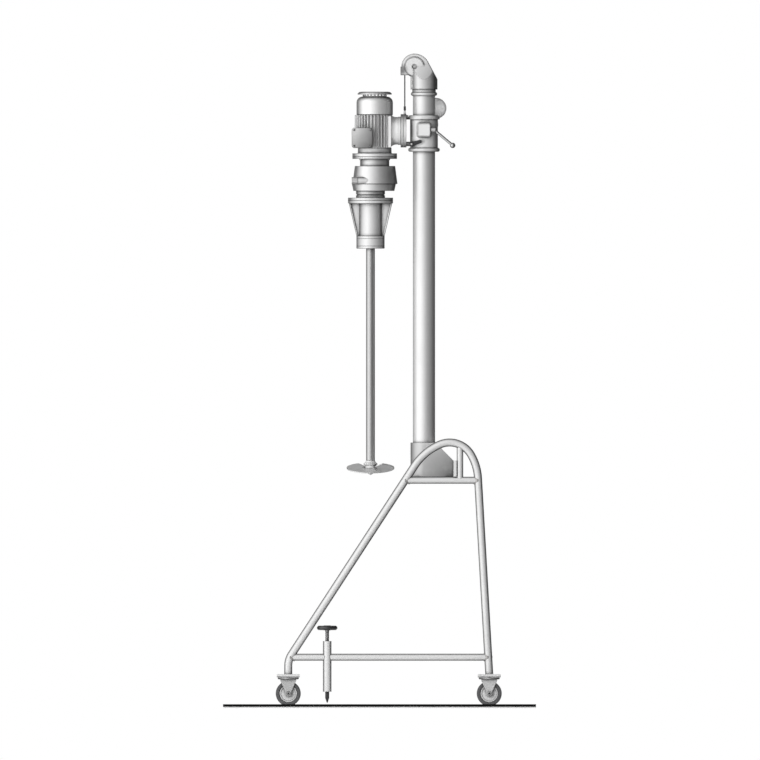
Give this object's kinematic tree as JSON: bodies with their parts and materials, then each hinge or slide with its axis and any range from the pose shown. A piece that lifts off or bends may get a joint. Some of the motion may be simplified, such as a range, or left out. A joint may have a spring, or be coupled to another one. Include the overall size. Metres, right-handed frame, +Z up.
{
  "type": "mobile emulsifier",
  "caption": "Mobile mixer: motor head with a long shaft and impeller, balanced on a lifting column that stands on a wheeled tube frame with screw jacks",
  "frame": {"origin": "On the floor, in the middle of the part's bounding box: under the caster treads", "axes": "+Z up along the column; +X towards the push handle at the rear; -Y is the near side, with the terminal box and the levers"},
  "size_m": [0.904, 0.6912, 2.6096],
  "materials": {
    "tube_steel": "satin stainless tube",
    "column_steel": "ground stainless tube",
    "bracket_steel": "dark grey paint",
    "casting": "light grey paint on cast aluminium",
    "head_grey": "mid grey paint on cast aluminium",
    "sheet_grey": "grey paint",
    "dark_plastic": "matt black",
    "grip_plastic": "grey, slightly glossy",
    "bush_plastic": "natural bearing plastic",
    "bright_steel": "bright zinc or chrome plating",
    "shaft_steel": "polished stainless",
    "core_steel": "bare steel",
    "dark_iron": "bare grey iron",
    "dark_metal": "black coated steel",
    "wheel_core": "light grey nylon",
    "tyre": "dark grey rubber",
    "rope_wire": "twisted steel wire"
  },
  "bodies": {
    "frame": {"leg_arch_near": "tube_steel", "leg_arch_far": "tube_steel", "side_rails": "tube_steel", "push_handle": "tube_steel", "cross_members": "tube_steel", "column_bracket": "bracket_steel", "column": "column_steel", "head_casting": "casting", "stop_collar": "casting", "pulley_axle": "shaft_steel", "jack_tubes": "tube_steel", "caster_plates": "bright_steel", "rope_turn": "rope_wire"},
    "pulley": {"head_pulley": "dark_plastic"},
    "counterweight": {"counterweight": "dark_iron", "rope_inner_run": "rope_wire"},
    "carriage": {"carriage_sleeve": "casting", "guide_bushes": "bush_plastic", "swivel_plate": "casting", "ball_grip": "grip_plastic", "rope_outer_run": "rope_wire"},
    "clamp_lever": {"clamp_lever": "bright_steel"},
    "lock_lever": {"lock_lever": "dark_metal"},
    "head": {"swivel_flange": "casting", "motor_bracket": "head_grey", "motor_frame": "head_grey", "stator_core": "core_steel", "fan_cowl": "sheet_grey", "rain_cap": "sheet_grey", "terminal_box": "head_grey", "motor_flange": "head_grey", "variator_housing": "head_grey", "variator_cover": "head_grey", "lantern": "casting", "bearing_housing": "casting", "ball_bearings": "bright_steel"},
    "rotor": {"motor_rotor": "core_steel", "cooling_fan": "dark_plastic"},
    "shaft": {"friction_ring": "core_steel", "mixing_shaft": "shaft_steel", "impeller": "shaft_steel"},
    "speed_knob": {"variator_knob": "dark_plastic"},
    "jack_foot_near": {"jack_foot_near": "bright_steel"},
    "jack_screw_near": {"jack_screw_near": "bright_steel", "jack_handwheel_near": "dark_plastic"},
    "jack_foot_far": {"jack_foot_far": "bright_steel"},
    "jack_screw_far": {"jack_screw_far": "bright_steel", "jack_handwheel_far": "dark_plastic"},
    "fork_front_near": {"caster_fork_front_near": "bright_steel"},
    "wheel_front_near": {"caster_wheel_front_near": "wheel_core", "caster_tyre_front_near": "tyre"},
    "fork_front_far": {"caster_fork_front_far": "bright_steel"},
    "wheel_front_far": {"caster_wheel_front_far": "wheel_core", "caster_tyre_front_far": "tyre"},
    "fork_rear_near": {"caster_fork_rear_near": "bright_steel"},
    "wheel_rear_near": {"caster_wheel_rear_near": "wheel_core", "caster_tyre_rear_near": "tyre"},
    "fork_rear_far": {"caster_fork_rear_far": "bright_steel"},
    "wheel_rear_far": {"caster_wheel_rear_far": "wheel_core", "caster_tyre_rear_far": "tyre"}
  },
  "joints": [
    {"name": "carriage_slide", "type": "slide", "parent": "frame", "child": "carriage", "axis": [0, 0, 1], "range_m": [-0.9, 0.07], "deforming": ["rope_outer_run"]},
    {"name": "counterweight_slide", "type": "slide", "parent": "frame", "child": "counterweight", "axis": [0, 0, 1], "range_m": [-0.07, 0.9], "deforming": ["rope_inner_run"]},
    {"name": "pulley_spin", "type": "hinge", "parent": "frame", "child": "pulley", "pos_m": [0.1026, 0, 2.5576], "axis": [0, 1, 0], "range_deg": [-1350, 110]},
    {"name": "clamp_lever_turn", "type": "hinge", "parent": "carriage", "child": "clamp_lever", "pos_m": [0.178, -0.068, 2.3044], "axis": [1, 0, 0], "range_deg": [-110, 20]},
    {"name": "lock_lever_turn", "type": "hinge", "parent": "carriage", "child": "lock_lever", "pos_m": [0.0918, -0.068, 2.2476], "axis": [0, 1, 0], "range_deg": [0, 80]},
    {"name": "head_tilt", "type": "hinge", "parent": "carriage", "child": "head", "pos_m": [0.0588, 0, 2.3008], "axis": [1, 0, 0], "range_deg": [-30, 30]},
    {"name": "speed_knob_turn", "type": "hinge", "parent": "head", "child": "speed_knob", "pos_m": [-0.1366, -0.07, 2.1012], "axis": [1, 0, 0], "range_deg": [-540, 540]},
    {"name": "motor_spin", "type": "hinge", "parent": "head", "child": "rotor", "pos_m": [-0.0562, 0, 2.3008], "axis": [0, 0, 1], "continuous": true},
    {"name": "shaft_spin", "type": "hinge", "parent": "head", "child": "shaft", "pos_m": [-0.073, 0, 1.9], "axis": [0, 0, 1], "continuous": true},
    {"name": "jack_lift_near", "type": "slide", "parent": "frame", "child": "jack_foot_near", "axis": [0, 0, 1], "range_m": [-0.04, 0.015]},
    {"name": "jack_turn_near", "type": "hinge", "parent": "jack_foot_near", "child": "jack_screw_near", "pos_m": [-0.2462, -0.3, 0.2], "axis": [0, 0, 1], "continuous": true},
    {"name": "jack_lift_far", "type": "slide", "parent": "frame", "child": "jack_foot_far", "axis": [0, 0, 1], "range_m": [-0.04, 0.015]},
    {"name": "jack_turn_far", "type": "hinge", "parent": "jack_foot_far", "child": "jack_screw_far", "pos_m": [-0.2462, 0.3, 0.2], "axis": [0, 0, 1], "continuous": true},
    {"name": "swivel_front_near", "type": "hinge", "parent": "frame", "child": "fork_front_near", "pos_m": [-0.402, -0.3, 0.11], "axis": [0, 0, 1], "continuous": true},
    {"name": "roll_front_near", "type": "hinge", "parent": "fork_front_near", "child": "wheel_front_near", "pos_m": [-0.402, -0.3, 0.05], "axis": [0, 1, 0], "continuous": true},
    {"name": "swivel_front_far", "type": "hinge", "parent": "frame", "child": "fork_front_far", "pos_m": [-0.402, 0.3, 0.11], "axis": [0, 0, 1], "continuous": true},
    {"name": "roll_front_far", "type": "hinge", "parent": "fork_front_far", "child": "wheel_front_far", "pos_m": [-0.402, 0.3, 0.05], "axis": [0, 1, 0], "continuous": true},
    {"name": "swivel_rear_near", "type": "hinge", "parent": "frame", "child": "fork_rear_near", "pos_m": [0.402, -0.3, 0.11], "axis": [0, 0, 1], "continuous": true},
    {"name": "roll_rear_near", "type": "hinge", "parent": "fork_rear_near", "child": "wheel_rear_near", "pos_m": [0.402, -0.3, 0.05], "axis": [0, 1, 0], "continuous": true},
    {"name": "swivel_rear_far", "type": "hinge", "parent": "frame", "child": "fork_rear_far", "pos_m": [0.402, 0.3, 0.11], "axis": [0, 0, 1], "continuous": true},
    {"name": "roll_rear_far", "type": "hinge", "parent": "fork_rear_far", "child": "wheel_rear_far", "pos_m": [0.402, 0.3, 0.05], "axis": [0, 1, 0], "continuous": true}
  ],
  "couplings": [
    {"joint": "counterweight_slide", "follows": "carriage_slide", "ratio": -1},
    {"joint": "pulley_spin", "follows": "carriage_slide", "rad_per_m": 26.042},
    {"joint": "shaft_spin", "follows": "motor_spin", "ratio": 0.6369},
    {"joint": "jack_turn_near", "follows": "jack_lift_near", "rad_per_m": 1570.8},
    {"joint": "jack_turn_far", "follows": "jack_lift_far", "rad_per_m": 1570.8}
  ]
}
